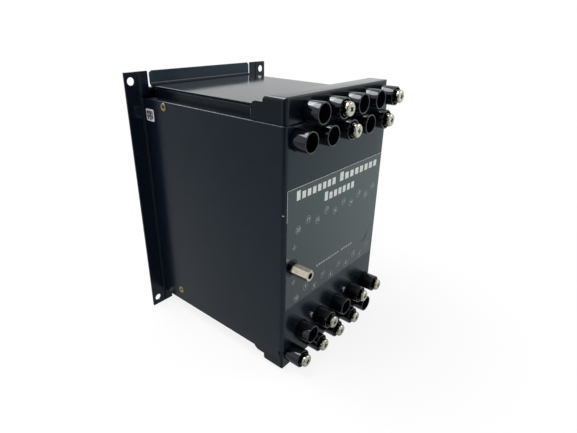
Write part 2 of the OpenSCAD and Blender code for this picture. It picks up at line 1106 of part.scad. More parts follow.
// Connection plug: a grip bar with finger hollows
module plug() {
    color(moulding)
        difference() {
            along_x([-plug_w / 2, plug_w / 2])
                translate([plug_y[1], 0])
                    rotate(90)
                        arched(plug_z, [0, plug_y[1] - plug_y[0]], plug_edge_r);
            for (i = [0 : grip_n - 1])
                translate([(i - (grip_n - 1) / 2) * plug_w / grip_n, plug_y[0] + grip_y,
                    plug_z[1] + grip_r - grip_depth])
                    rotate([90, 0, 0])
                        cylinder(r = grip_r, h = grip_l, center = true);
        }
}

module upper_plug() {
    plug();
}

module lower_plug() {
    lower()
        plug();
}

module blade_group() {
    color(brass)
        at_columns()
            slab([-strap_w / 2, strap_w / 2], [plug_y[1], blade_back], blade_z);
}

module upper_blades() {
    blade_group();
}

module lower_blades() {
    lower()
        blade_group();
}

// Skirted pointer knob on its shaft
module knob() {
    front = -panel_t - knob_gap - knob_h;
    rear = -panel_t - knob_gap;
    difference() {
        union() {
            rod_y(knob_d / 2, [rear - knob_skirt, rear]);
            rod_y(knob_d / 2 - knob_step, [front, rear - knob_skirt]);
            slab([-pointer_w / 2, pointer_w / 2], [front, rear - knob_skirt],
                [0, knob_d / 2 - pointer_inset]);
        }
        slab([-line_w / 2, line_w / 2], [front - 1, front + line_depth], [line_w, knob_d]);
    }
    rod_y(shaft_r, [rear, shaft_in]);
}

module pickup_knob() {
    color(moulding)
        translate([-knob_x, 0, knob_z])
            knob();
}

module time_knob() {
    color(moulding)
        translate([knob_x, 0, knob_z])
            knob();
}

module push_button(r, out) {
    front = -panel_t - out;
    rod_y(r, [front + button_edge, button_in]);
    translate([0, front + button_edge, 0])
        rotate([90, 0, 0])
            rotate_extrude()
                intersection() {
                    arched([-r, r], [-button_edge, button_edge], button_edge);
                    square([r, button_edge]);
                }
}

module test_button_left() {
    color([0.55, 0.08, 0.07])
        translate([button_x[0], 0, button_z])
            push_button(button_d / 2, button_out);
}

module test_button_right() {
    color([0.55, 0.08, 0.07])
        translate([button_x[1], 0, button_z])
            push_button(button_d / 2, button_out);
}

module reset_button() {
    color([0.15, 0.15, 0.16])
        translate([reset_x, 0, reset_z])
            push_button(reset_button_r, reset_out);
}

// Square target drum on two pins
module target_drum() {
    half = flag_s / 2;
    slab([-flag_l / 2, flag_l / 2], [target_y - half, target_y + half], [-half, half]);
    translate([0, target_y, 0])
        rod_x(flag_pin_r, [-flag_l / 2 - flag_pin_l, flag_l / 2 + flag_pin_l]);
}

module target_left() {
    color([0.85, 0.35, 0.08])
        translate([-target_x, 0, target_z])
            target_drum();
}

module target_right() {
    color([0.85, 0.35, 0.08])
        translate([target_x, 0, target_z])
            target_drum();
}

// Open-backed cover with a window opening
module cover_frame() {
    color(moulding)
        difference() {
            union() {
                along_y([cover_front, cover_back])
                    rounded(hood_w, hood_h, cover_r);
                along_y([cover_back - rim_t, cover_back])
                    rounded(cover_w, cover_h, cover_r);
            }
            along_y([cover_front + cover_wall, cover_back + 1])
                rounded(hood_w - 2 * cover_wall, hood_h - 2 * cover_wall, hood_in_r);
            along_y([cover_front - 1, cover_front + cover_wall + 1])
                rounded(window_w, window_h, window_corner_r);
            for (x = [-post_x, post_x])
                translate([x, 0, 0])
                    rod_y(post_r + post_clear, [cover_front - 1, cover_front + cover_wall + 1]);
            translate([reset_x, 0, reset_z])
                rod_y(rod_r + running, [cover_front - 1, cover_front + cover_wall + 1]);
        }
}

module cover_window() {
    color([0.85, 0.90, 0.92, 0.3])
        along_y([cover_front + cover_wall, cover_front + cover_wall + pane_t])
            rounded(window_w + 2 * pane_lap, window_h + 2 * pane_lap, pane_corner_r);
}

module cover_gasket() {
    color([0.05, 0.05, 0.05])
        along_y([cover_back, -sheet_t - apart])
            difference() {
                rounded(cover_w - 2 * gasket_inset, cover_h - 2 * gasket_inset, cover_r);
                rounded(cover_w - 2 * (gasket_inset + gasket_w), cover_h - 2 * (gasket_inset + gasket_w),
                    cover_r - gasket_w);
            }
}

// Target reset rod through the cover, held by a ring
module reset_rod() {
    rod_front = cover_front - rod_cap_l - reset_travel - rod_gap;
    ring = cover_front + cover_wall + 2 * apart;
    color(nickel)
        translate([reset_x, 0, reset_z]) {
            rod_y(rod_cap_r, [rod_front, rod_front + rod_cap_l]);
            rod_y(rod_r, [rod_front + rod_cap_l, -panel_t - reset_out - apart]);
            rod_y(rod_ring_r, [ring, ring + rod_ring_t]);
        }
}

// Knurled nut on a cover post
module thumb_nut(x) {
    teeth = [for (i = [0 : 2 * nut_teeth - 1])
        (nut_r - (i % 2) * nut_tooth) * [cos(i * 180 / nut_teeth), sin(i * 180 / nut_teeth)]];
    color(nickel)
        translate([x, 0, 0])
            difference() {
                along_y([cover_front - nut_len - apart, cover_front - apart])
                    polygon(teeth);
                rod_y(post_r + running, [cover_front - nut_len - 1, cover_front]);
            }
}

module thumb_nut_left() {
    thumb_nut(-post_x);
}

module thumb_nut_right() {
    thumb_nut(post_x);
}

case_wrap();
top_plate();
bottom_plate();
upper_rails();
lower_rails();
upper_terminal_block();
lower_terminal_block();
upper_barrels();
lower_barrels();
terminal_inserts();
terminal_screws();
block_screws();
ground_stud();
ground_nut();
side_eyelets();
rear_label();
side_sticker();
upper_contact_block();
lower_contact_block();
contact_straps();
guide_runners();
cradle();
front_panel();
panel_screws();
upper_finger_block();
lower_finger_block();
contact_fingers();
control_board();
logic_board();
power_board();
front_standoffs();
side_standoffs();
chips();
capacitors();
relay_cans();
transformer_core();
transformer_coil();
setting_pots();
switch_bodies();
target_housings();
led_lenses();
cover_posts();
upper_plug();
upper_blades();
lower_plug();
lower_blades();
pickup_knob();
time_knob();
test_button_left();
test_button_right();
reset_button();
target_left();
target_right();
cover_frame();
cover_window();
cover_gasket();
reset_rod();
thumb_nut_left();
thumb_nut_right();
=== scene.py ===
import math
import bmesh
import bpy
from mathutils import Matrix, Vector


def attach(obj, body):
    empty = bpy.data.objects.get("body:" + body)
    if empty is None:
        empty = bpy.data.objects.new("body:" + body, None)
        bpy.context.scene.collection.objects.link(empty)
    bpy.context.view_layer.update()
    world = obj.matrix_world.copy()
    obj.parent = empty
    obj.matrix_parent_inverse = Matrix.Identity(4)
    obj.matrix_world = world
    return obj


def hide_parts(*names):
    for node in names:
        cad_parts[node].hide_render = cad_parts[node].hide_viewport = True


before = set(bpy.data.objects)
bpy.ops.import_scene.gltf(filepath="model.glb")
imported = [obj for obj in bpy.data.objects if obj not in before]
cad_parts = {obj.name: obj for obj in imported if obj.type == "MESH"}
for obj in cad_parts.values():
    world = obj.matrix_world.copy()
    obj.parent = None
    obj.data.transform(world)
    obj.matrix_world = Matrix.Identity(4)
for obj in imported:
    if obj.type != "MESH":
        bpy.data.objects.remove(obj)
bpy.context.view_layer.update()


# The case: both sides, the rear panel and the side flanges, folded from one sheet of steel.
# Its edges are broken by tumbling, and it is sprayed in a semi-gloss black that dries to a fine
# orange-peel skin, dry in the folds. A small chip on the rear corner shows the primer.
def baked(piece):
    """Make the result of a piece's modifiers its plain mesh."""
    graph = bpy.context.evaluated_depsgraph_get()
    plain = bpy.data.meshes.new_from_object(piece.evaluated_get(graph))
    piece.modifiers.clear()
    piece.data = plain


def placed(name, mesh, material):
    piece = bpy.data.objects.new(name, mesh)
    bpy.context.scene.collection.objects.link(piece)
    mesh.materials.clear()
    mesh.materials.append(material)
    return piece


def softened(node, edge, material, body, clamp=True, shortest=0.0, above=-1.0):
    """Stand in for a CAD node by a copy whose sharp outer edges are rounded to the width edge.

    Edges no longer than shortest, and those that reach down to the height above, stay sharp.
    """
    weld = 2e-6
    flat_angle, sharp_angle = math.radians(0.4), math.radians(33)
    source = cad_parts[node].data
    mesh = bpy.data.meshes.new(node + "_skin")
    mesh.from_pydata([v.co[:] for v in source.vertices], [], [p.vertices[:] for p in source.polygons])
    bm = bmesh.new()
    bm.from_mesh(mesh)
    bmesh.ops.remove_doubles(bm, verts=bm.verts, dist=weld)
    bmesh.ops.dissolve_limit(bm, angle_limit=flat_angle, verts=bm.verts, edges=bm.edges)
    for face in bm.faces:
        face.smooth = True
    outer = bm.edges.layers.float.new("bevel_weight_edge")
    for line in bm.edges:
        line.smooth = line.calc_face_angle(0.0) < sharp_angle
        broken = line.is_convex and not line.smooth and line.calc_length() > shortest
        high = min(vert.co.z for vert in line.verts) > above
        line[outer] = 1.0 if broken and high else 0.0
    bm.to_mesh(mesh)
    bm.free()
    piece = placed(node + "_skin", mesh, material)
    rounding = piece.modifiers.new("broken_edge", "BEVEL")
    rounding.width = edge
    rounding.segments = 3
    rounding.limit_method = "WEIGHT"
    rounding.harden_normals = True
    rounding.use_clamp_overlap = clamp
    baked(piece)
    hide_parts(node)
    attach(piece, body)


def add(tree, kind, sockets={}, **settings):
    """A new node with its settings, and its sockets linked or set."""
    made = tree.nodes.new(kind)
    for key, value in settings.items():
        setattr(made, key, value)
    for key, value in sockets.items():
        if isinstance(value, bpy.types.NodeSocket):
            tree.links.new(value, made.inputs[key])
        else:
            made.inputs[key].default_value = value
    return made


def maths(tree, operation, a, b=0.0):
    return add(tree, "ShaderNodeMath", {0: a, 1: b}, operation=operation).outputs[0]


def vectors(tree, operation, a, b=(0.0, 0.0, 0.0)):
    return add(tree, "ShaderNodeVectorMath", {0: a, 1: b}, operation=operation).outputs


def ranged(tree, value, low, high, out_low, out_high):
    sockets = {"Value": value, "From Min": low, "From Max": high, "To Min": out_low, "To Max": out_high}
    return add(tree, "ShaderNodeMapRange", sockets).outputs["Result"]


def blended(tree, factor, a, b):
    return add(tree, "ShaderNodeMix", {0: factor, 6: a, 7: b}, data_type="RGBA").outputs[2]


surface_marks = bpy.data.node_groups.new("surface_marks", "ShaderNodeTree")
for label, kind in (("Vector", "Vector"), ("Grain Scale", "Float"), ("Mottle Scale", "Float")):
    surface_marks.interface.new_socket(label, in_out="INPUT", socket_type="NodeSocket" + kind)
for label in ("Grain", "Mottle", "Specks", "Scratches"):
    surface_marks.interface.new_socket(label, in_out="OUTPUT", socket_type="NodeSocketFloat")
marks_in = add(surface_marks, "NodeGroupInput").outputs
marks_out = add(surface_marks, "NodeGroupOutput").inputs
grain = add(surface_marks, "ShaderNodeTexNoise", {"Vector": marks_in["Vector"],
    "Scale": marks_in["Grain Scale"], "Detail": 3.0, "Roughness": 0.55}).outputs["Fac"]
mottle = add(surface_marks, "ShaderNodeTexNoise", {"Vector": marks_in["Vector"],
    "Scale": marks_in["Mottle Scale"], "Detail": 5.0, "Roughness": 0.6}).outputs["Fac"]
speck_scale = maths(surface_marks, "MULTIPLY", marks_in["Grain Scale"], 0.22)
cells = add(surface_marks, "ShaderNodeTexVoronoi", {"Vector": marks_in["Vector"],
    "Scale": speck_scale}).outputs["Distance"]
dots = ranged(surface_marks, cells, 0.06, 0.13, 1.0, 0.0)
patches = ranged(surface_marks, mottle, 0.52, 0.62, 0.0, 1.0)
drawn = add(surface_marks, "ShaderNodeMapping", {"Vector": marks_in["Vector"],
    "Rotation": (0.5, 0.9, 0.3), "Scale": (14.0, 160.0, 40.0)}).outputs["Vector"]
wander = add(surface_marks, "ShaderNodeTexNoise", {"Vector": drawn,
    "Scale": 1.0, "Detail": 2.0}).outputs["Fac"]
hair = maths(surface_marks, "ABSOLUTE", maths(surface_marks, "SUBTRACT", wander, 0.5))
surface_marks.links.new(grain, marks_out["Grain"])
surface_marks.links.new(mottle, marks_out["Mottle"])
surface_marks.links.new(maths(surface_marks, "MULTIPLY", dots, patches), marks_out["Specks"])
surface_marks.links.new(ranged(surface_marks, hair, 0.0, 0.006, 1.0, 0.0), marks_out["Scratches"])


def marked(tree, grain_scale, mottle_scale):
    """The marks group on Object coordinates."""
    place = add(tree, "ShaderNodeTexCoord").outputs["Object"]
    sockets = {"Vector": place, "Grain Scale": grain_scale, "Mottle Scale": mottle_scale}
    return add(tree, "ShaderNodeGroup", sockets, node_tree=surface_marks).outputs


def finish(name, colour, second, roughness, spread, grain_scale, depth, mottle_scale,
           specular=0.5, metallic=0.0, specks=0.0, scratches=0.0, tint=(1.0, 1.0, 1.0)):
    """A finish of two tones, with specks of dust, fine scratches, varied gloss and a skin."""
    dust = (0.3, 0.3, 0.29, 1.0)
    material = bpy.data.materials.new(name)
    material.use_nodes = True
    tree = material.node_tree
    shader = tree.nodes["Principled BSDF"]
    marks = marked(tree, grain_scale, mottle_scale)
    tone = ranged(tree, marks["Mottle"], 0.35, 0.65, 0.0, 1.0)
    paint = blended(tree, tone, (*colour, 1.0), (*second, 1.0))
    paint = blended(tree, maths(tree, "MULTIPLY", marks["Specks"], specks), paint, dust)
    paint = blended(tree, maths(tree, "MULTIPLY", marks["Scratches"], scratches), paint, dust)
    gloss = ranged(tree, marks["Mottle"], 0.3, 0.7, roughness - spread, roughness + spread)
    skin = add(tree, "ShaderNodeBump", {"Strength": 1.0, "Distance": depth, "Height": marks["Grain"]})
    tree.links.new(paint, shader.inputs["Base Color"])
    tree.links.new(gloss, shader.inputs["Roughness"])
    tree.links.new(skin.outputs["Normal"], shader.inputs["Normal"])
    shader.inputs["Metallic"].default_value = metallic
    shader.inputs["Specular IOR Level"].default_value = specular
    shader.inputs["Specular Tint"].default_value = (*tint, 1.0)
    return material


def coordinates(material):
    """A finish's node tree and its Object coordinates."""
    tree = material.node_tree
    return tree, tree.nodes["Texture Coordinate"].outputs["Object"]


def recoloured(material, mask, colour):
    """Lay another colour over a finish where the mask is 1."""
    tree = material.node_tree
    base = tree.nodes["Principled BSDF"].inputs["Base Color"]
    paint = base.links[0].from_socket
    tree.links.new(blended(tree, mask, paint, (*colour, 1.0)), base)


def near(tree, place, centre, size):
    """A soft mask round a point, with its own half-size along each axis."""
    offset = vectors(tree, "SUBTRACT", place, centre)[0]
    scaled = vectors(tree, "DIVIDE", offset, size)[0]
    reach = vectors(tree, "LENGTH", scaled)["Value"]
    return ranged(tree, reach, 0.7, 1.0, 1.0, 0.0)


case_paint = finish("case_paint", (0.0020, 0.0052, 0.0110), (0.0028, 0.0064, 0.0130),
    roughness=0.22, spread=0.03, grain_scale=1500.0, depth=0.000005, mottle_scale=60.0,
    specular=0.31, specks=0.08, scratches=0.012, tint=(0.80, 0.94, 1.0))
primer = (0.36, 0.37, 0.36)
chip_place, chip_size = (0.0702, 0.1598, 0.0306), (0.0016, 0.0020, 0.0006)
chip_ragged = 0.0016
fold_place, fold_size = (0.0702, 0.0003, 0.0), (0.0014, 0.0014, 1.0)
fold_roughness = 0.8
under_top_edge = 0.093
tree, place = coordinates(case_paint)
ragged = add(tree, "ShaderNodeTexNoise", {"Vector": place, "Scale": 900.0}).outputs["Color"]
shifted = vectors(tree, "MULTIPLY", ragged, (chip_ragged, chip_ragged, chip_ragged))[0]
rough_place = vectors(tree, "ADD", place, shifted)[0]
recoloured(case_paint, near(tree, rough_place, chip_place, chip_size), primer)
both_sides = vectors(tree, "ABSOLUTE", place)[0]
fold = near(tree, both_sides, fold_place, fold_size)
gloss = tree.nodes["Principled BSDF"].inputs["Roughness"]
dry = add(tree, "ShaderNodeMix", {0: fold, 2: gloss.links[0].from_socket, 3: fold_roughness},
    data_type="FLOAT").outputs[0]
tree.links.new(dry, gloss)
softened("case_wrap", 0.0006, case_paint, "case", clamp=False, above=under_top_edge)


# The top and bottom plates: flat steel sheets with the front edge folded up into the flange.
# They lie on the rails. Their paint is a little glossier than that of the sides. On the upper
# fold its colour is lightened to a bluish grey, a painted reflection of the light.
plate_paint = finish("plate_paint", (0.0024, 0.0056, 0.0104), (0.0032, 0.0068, 0.0122),
    roughness=0.11, spread=0.02, grain_scale=1500.0, depth=0.000003, mottle_scale=60.0,
    specular=0.20, specks=0.08, scratches=0.02, tint=(0.84, 0.95, 1.0))
painted_reflection_colour = (0.030, 0.048, 0.064)
painted_reflection_place, painted_reflection_size = (0.0, 0.0, 0.1115), (1.0, 0.0030, 0.0085)
tree, place = coordinates(plate_paint)
# Lighten the upper fold of the top plate: a painted reflection of the light.
recoloured(plate_paint, near(tree, place, painted_reflection_place, painted_reflection_size), painted_reflection_colour)
softened("top_plate", 0.0004, plate_paint, "case")
softened("bottom_plate", 0.0004, plate_paint, "case")


# The stepped rails under the plates: black phenolic, moulded with a pad for the plate's edge, a
# ledge and a lip. The lip is riveted inside the sides.
rail_black = finish("rail_black", (0.0025, 0.0040, 0.0070), (0.0035, 0.0052, 0.0090),
    roughness=0.25, spread=0.05, grain_scale=900.0, depth=0.000006, mottle_scale=45.0,
    specular=0.25, specks=0.1, tint=(0.84, 0.93, 1.0))
softened("upper_rails", 0.0004, rail_black, "case", clamp=False)
softened("lower_rails", 0.0004, rail_black, "case", clamp=False)


# The terminal blocks: black phenolic pressed in a steel mould, with a bar across the rear and
# stepped ends. The skin is fairly glossy with faint flow marks.
phenolic = finish("phenolic", (0.0026, 0.0042, 0.0075), (0.0038, 0.0056, 0.0095),
    roughness=0.16, spread=0.04, grain_scale=700.0, depth=0.000005, mottle_scale=38.0,
    specular=0.24, specks=0.08, tint=(0.84, 0.93, 1.0))
block_edge, block_shortest = 0.0008, 0.003
softened("upper_terminal_block", block_edge, phenolic, "case", clamp=False,
    shortest=block_shortest)
softened("lower_terminal_block", block_edge, phenolic, "case", clamp=False,
    shortest=block_shortest)


# The barrels round the terminals: thin phenolic sleeves with a rounded rim, ten above and ten
# below, set in the blocks in two staggered rows. One lower barrel has lost a flake of its rim.
def tree_of(name, sizes):
    made = bpy.data.node_groups.new(name, "GeometryNodeTree")
    made.interface.new_socket("Geometry", in_out="INPUT", socket_type="NodeSocketGeometry")
    for label in sizes:
        made.interface.new_socket(label, in_out="INPUT", socket_type="NodeSocketFloat")
    made.interface.new_socket("Geometry", in_out="OUTPUT", socket_type="NodeSocketGeometry")
    return made, add(made, "NodeGroupInput").outputs, add(made, "NodeGroupOutput").inputs


def grown(name, points, tree, sizes, material, body, nodes):
    """Stand in for CAD nodes by what a tree grows on the points."""
    mesh = bpy.data.meshes.new(name)
    mesh.from_pydata(points, [], [])
    piece = placed(name, mesh, material)
    grow = piece.modifiers.new("grow", "NODES")
    grow.node_group = tree
    for item in tree.interface.items_tree:
        if item.in_out == "INPUT" and item.name in sizes:
            grow[item.identifier] = sizes[item.name]
    baked(piece)
    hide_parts(*nodes)
    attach(piece, body)
    return piece


def ring_tree(name, material, turn):
    sizes = ["Outer Radius", "Inner Radius", "Length", "Rim Round", "Start"]
    made, given, out = tree_of(name, sizes)
    middle = maths(made, "MULTIPLY", maths(made, "ADD", given["Outer Radius"], given["Inner Radius"]), 0.5)
    wall = maths(made, "SUBTRACT", given["Outer Radius"], given["Inner Radius"])
    path = add(made, "GeometryNodeCurvePrimitiveCircle", {"Resolution": 56, "Radius": middle})
    section = add(made, "GeometryNodeCurvePrimitiveQuadrilateral", {"Width": wall, "Height": given["Length"]})
    rounded = add(made, "GeometryNodeFilletCurve", {"Curve": section.outputs[0], "Radius": given["Rim Round"],
        "Count": 3, "Limit Radius": True}, mode="POLY")
    tube = add(made, "GeometryNodeCurveToMesh", {"Curve": path.outputs[0],
        "Profile Curve": rounded.outputs[0]})
    smooth = add(made, "GeometryNodeSetShadeSmooth", {"Geometry": tube.outputs[0]})
    lift = maths(made, "ADD", given["Start"], maths(made, "MULTIPLY", given["Length"], 0.5))
    shift = add(made, "ShaderNodeCombineXYZ", {"Z": lift}).outputs[0]
    raised = add(made, "GeometryNodeTransform", {"Geometry": smooth.outputs[0], "Translation": shift})
    laid = add(made, "GeometryNodeTransform", {"Geometry": raised.outputs[0], "Rotation": turn})
    rows = add(made, "GeometryNodeInstanceOnPoints", {"Points": given["Geometry"],
        "Instance": laid.outputs[0]})
    real = add(made, "GeometryNodeRealizeInstances", {"Geometry": rows.outputs[0]})
    covered = add(made, "GeometryNodeSetMaterial", {"Geometry": real.outputs[0], "Material": material})
    made.links.new(covered.outputs[0], out["Geometry"])
    return made


def cut(piece, cutter):
    carve = piece.modifiers.new("recess", "BOOLEAN")
    carve.operation = "DIFFERENCE"
    carve.solver = "EXACT"
    carve.use_self = True
    carve.object = cutter
    baked(piece)
    bpy.data.objects.remove(cutter)


def mesh_from(bm, name):
    mesh = bpy.data.meshes.new(name)
    bm.to_mesh(mesh)
    bm.free()
    return mesh


barrel_black = finish("barrel_black", (0.0018, 0.0024, 0.0042), (0.0028, 0.0036, 0.0058),
    roughness=0.09, spread=0.02, grain_scale=500.0, depth=0.000003, mottle_scale=70.0,
    specular=0.5, specks=0.08, tint=(0.88, 0.95, 1.0))
barrel_pitch = 0.0254
row_outer = 0.1002
row_inner = 0.0829
upper_places = {}
for i in range(5):
    upper_places[19 - 2 * i] = ((1.75 - i) * barrel_pitch, row_outer)
    upper_places[20 - 2 * i] = ((2.25 - i) * barrel_pitch, row_inner)
terminal = dict(upper_places)
for number, (x, z) in upper_places.items():
    terminal[21 - number] = (-x, -z)
barrel_tree = ring_tree("barrel_rows", barrel_black, (-math.pi / 2, 0.0, 0.0))
barrel_sizes = {"Outer Radius": 0.0077, "Inner Radius": 0.0066, "Length": 0.0142, "Rim Round": 0.00035,
    "Start": 0.158}
upper_points = [(x, 0.0, z) for x, z in terminal.values() if z > 0]
lower_points = [(x, 0.0, z) for x, z in terminal.values() if z < 0]
grown("upper_barrels_skin", upper_points, barrel_tree, barrel_sizes, barrel_black, "case",
    ["upper_barrels"])
lower_barrels = grown("lower_barrels_skin", lower_points, barrel_tree, barrel_sizes, barrel_black, "case",
    ["lower_barrels"])
flake_turn = math.radians(-25)
flake_reach = 0.0080
flake_x = terminal[9][0] + flake_reach * math.cos(flake_turn)
flake_y = 0.1726
flake_z = terminal[9][1] + flake_reach * math.sin(flake_turn)
flake_size = (0.0020, 0.0022, 0.0026)
flake = bmesh.new()
bmesh.ops.create_icosphere(flake, subdivisions=2, radius=1.0)
for k, vert in enumerate(flake.verts):
    swell = 1.0 + 0.16 * math.sin(7.0 * k)
    vert.co = Vector((flake_x + vert.co.x * flake_size[0] * swell,
        flake_y + vert.co.y * flake_size[1] * swell,
        flake_z + vert.co.z * flake_size[2] * swell))
cut(lower_barrels, placed("flake", mesh_from(flake, "flake"), barrel_black))


# The inserts at the foot of the barrels: turned and tapped from brass bar.
# They are pressed into the blocks.
def dressed(material, *names):
    for name in names:
        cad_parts[name].data.materials.clear()
        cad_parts[name].data.materials.append(material)


brass = finish("brass", (0.60, 0.42, 0.14), (0.50, 0.33, 0.10),
    roughness=0.3, spread=0.08, grain_scale=900.0, depth=0.000004, mottle_scale=120.0,
    metallic=1.0, scratches=0.2)
dressed(brass, "terminal_inserts")


# The terminal screws: nickel-plated steel with pan heads and a cross recess, over captive washers.
# Each is left at the turn where the last hand stopped, and some terminals have none. Their recesses,
# washers and head rims are darkened, partly tarnish and partly painted shade.
nickel = finish("nickel", (0.62, 0.58, 0.50), (0.55, 0.50, 0.42),
    roughness=0.16, spread=0.06, grain_scale=1100.0, depth=0.000004, mottle_scale=220.0,
    metallic=1.0, scratches=0.25)
worn_and_shaded_nickel = finish("worn_and_shaded_nickel", (0.68, 0.65, 0.56), (0.42, 0.39, 0.31),
    roughness=0.13, spread=0.05, grain_scale=520.0, depth=0.00006, mottle_scale=420.0,
    metallic=1.0, scratches=0.2)
# This dark colour is laid on the screws where their tarnish attribute is high: partly tarnish, partly painted
# shade.
tarnish_and_shade_colour = (0.045, 0.040, 0.034)
tarnish_and_shade = add(worn_and_shaded_nickel.node_tree, "ShaderNodeAttribute", attribute_name="tarnish_and_shade").outputs["Fac"]
recoloured(worn_and_shaded_nickel, tarnish_and_shade, tarnish_and_shade_colour)


def turned(profile, steps):
    """A closed body of revolution about +Y from (radius, y) points, from one pole to the other."""
    bm = bmesh.new()
    rings = []
    for radius, y in profile:
        if radius == 0.0:
            rings.append([bm.verts.new((0.0, y, 0.0))])
        else:
            angles = [2 * math.pi * k / steps for k in range(steps)]
            rings.append([bm.verts.new((radius * math.cos(a), y, radius * math.sin(a))) for a in angles])
    for a, b in zip(rings, rings[1:]):
        for k in range(steps):
            loop = [a[k % len(a)], a[(k + 1) % len(a)], b[(k + 1) % len(b)], b[k % len(b)]]
            corners = list(dict.fromkeys(loop))
            if len(corners) > 2:
                bm.faces.new(corners)
    bmesh.ops.recalc_face_normals(bm, faces=bm.faces)
    for face in bm.faces:
        face.smooth = True
    for line in bm.edges:
        line.smooth = line.calc_face_angle(0.0) < math.radians(32)
    return bm


head_r = 0.0053
head_seat = 0.1718
head_top = 0.1772
dome_r = 0.0016
washers_top = head_seat + 0.0026
thread_r, thread_deep, half_pitch, thread_count = 0.0024, 0.0004, 0.0004, 56
shank_end, thread_start = head_seat - 0.023, head_seat - 0.0225
shank = [(0.0, shank_end)]
shank += [(thread_r - (thread_deep if k % 2 else 0.0), thread_start + k * half_pitch)
          for k in range(thread_count)]
washer_in, washer_out, washer_step = 0.0005, 0.0001, 0.0002
head = [(head_r - (washer_in if k % 2 else washer_out), head_seat + k * washer_step) for k in range(1, 13)]
head += [(head_r - 0.0006, washers_top - 0.0001), (head_r - 0.0003, washers_top),
         (head_r, washers_top + 0.0003)]
head += [(head_r - dome_r * (1 - math.cos(a)), head_top - dome_r + dome_r * math.sin(a)) for a in
         [math.radians(15 * k) for k in range(0, 7)]] + [(0.0, head_top)]
screw = placed("screw_pattern", mesh_from(turned(shank + head, 40), "screw_pattern"), worn_and_shaded_nickel)
recess_mouth, recess_foot, cutter_tall = (0.0056, 0.0018), (0.0030, 0.0012), 0.0056
cross = bmesh.new()
for turn in (0.0, math.pi / 2):
    blade = bmesh.ops.create_cube(cross, size=1.0)["verts"]
    for vert in blade:
        length, width = recess_foot if vert.co.y < 0 else recess_mouth
        vert.co = Vector((vert.co.x * length, head_top + vert.co.y * cutter_tall, vert.co.z * width))
    bmesh.ops.rotate(cross, verts=blade, cent=(0, 0, 0), matrix=Matrix.Rotation(turn, 3, "Y"))
cut(screw, placed("cross_cutter", mesh_from(cross, "cross_cutter"), nickel))
# Darken the recess, the washers and the shank fully, and the face towards its rim: partly tarnish, partly
# painted shade.
recess_r, rim_depth = 0.0032, 0.0006
tarnish_and_shade_values = screw.data.attributes.new("tarnish_and_shade", "FLOAT", "POINT")
for spot, value in zip(screw.data.vertices, tarnish_and_shade_values.data):
    radius = math.hypot(spot.co.x, spot.co.z)
    in_recess = radius < recess_r and spot.co.y < head_top - rim_depth
    if spot.co.y < washers_top or in_recess:
        value.value = 0.94
    else:
        value.value = 0.04 + 0.3 * (radius / head_r) ** 6
screw_tree, given, out = tree_of("screw_rows", ["Largest Turn"])
pattern = add(screw_tree, "GeometryNodeObjectInfo", {"Object": screw},
    transform_space="ORIGINAL").outputs["Geometry"]
any_turn = add(screw_tree, "FunctionNodeRandomValue", {2: 0.0, 3: given["Largest Turn"], "Seed": 7},
    data_type="FLOAT")
spin = add(screw_tree, "ShaderNodeCombineXYZ", {"Y": any_turn.outputs[1]}).outputs[0]
rows = add(screw_tree, "GeometryNodeInstanceOnPoints", {"Points": given["Geometry"], "Instance": pattern,
    "Rotation": spin})
real = add(screw_tree, "GeometryNodeRealizeInstances", {"Geometry": rows.outputs[0]})
shown = add(screw_tree, "GeometryNodeSetMaterial", {"Geometry": real.outputs[0], "Material": worn_and_shaded_nickel})
screw_tree.links.new(shown.outputs[0], out["Geometry"])
fitted = (17, 16, 12, 11, 10, 8, 7, 6, 4, 3, 1)
screw_points = [(terminal[n][0], 0.0, terminal[n][1]) for n in fitted]
grown("terminal_screws_skin", screw_points, screw_tree, {"Largest Turn": math.pi}, worn_and_shaded_nickel, "case",
    ["terminal_screws"])
bpy.data.objects.remove(screw)


# The small screws that hold the blocks to the rear panel: plated steel with low round heads.
# Their plating has gone dull.
dull_nickel = finish("dull_nickel", (0.26, 0.25, 0.22), (0.15, 0.14, 0.12),
    roughness=0.3, spread=0.08, grain_scale=1100.0, depth=0.000006, mottle_scale=400.0,
    metallic=1.0, scratches=0.2)
softened("block_screws", 0.0001, dull_nickel, "case")


# The earth stud: a hexagonal bar turned down at its root and tapped in its end, held through the
# rear panel by a nut inside. Its plating has gone slightly golden; its colour is darker near the panel.
stud_plate = finish("stud_plate", (0.66, 0.61, 0.52), (0.44, 0.38, 0.29),
    roughness=0.16, spread=0.05, grain_scale=1300.0, depth=0.000006, mottle_scale=160.0,
    metallic=1.0, scratches=0.3)
rear = 0.1595
root_dark_colour = (0.020, 0.019, 0.018)
root_dark_full, root_dark_end = rear + 0.0030, rear + 0.0048
tree, place = coordinates(stud_plate)
out_of_panel = add(tree, "ShaderNodeSeparateXYZ", {0: place}).outputs["Y"]
# Darken the stud over its first 3 mm from the panel, fading out by 4.8 mm.
recoloured(stud_plate, ranged(tree, out_of_panel, root_dark_full, root_dark_end, 1.0, 0.0), root_dark_colour)
softened("ground_stud", 0.0003, stud_plate, "case")
zinc = finish("zinc", (0.50, 0.51, 0.53), (0.42, 0.43, 0.45),
    roughness=0.34, spread=0.08, grain_scale=500.0, depth=0.000006, mottle_scale=60.0,
    metallic=1.0, scratches=0.25)
dressed(zinc, "ground_nut")


# The tubular rivets through the sides: yellow-passivated eyelets with a rolled rim.
# They hold the rails inside the case.
yellow_plate = finish("yellow_plate", (0.46, 0.38, 0.19), (0.34, 0.28, 0.14),
    roughness=0.3, spread=0.08, grain_scale=1500.0, depth=0.000006, mottle_scale=300.0, metallic=1.0)
softened("side_eyelets", 0.00025, yellow_plate, "case")


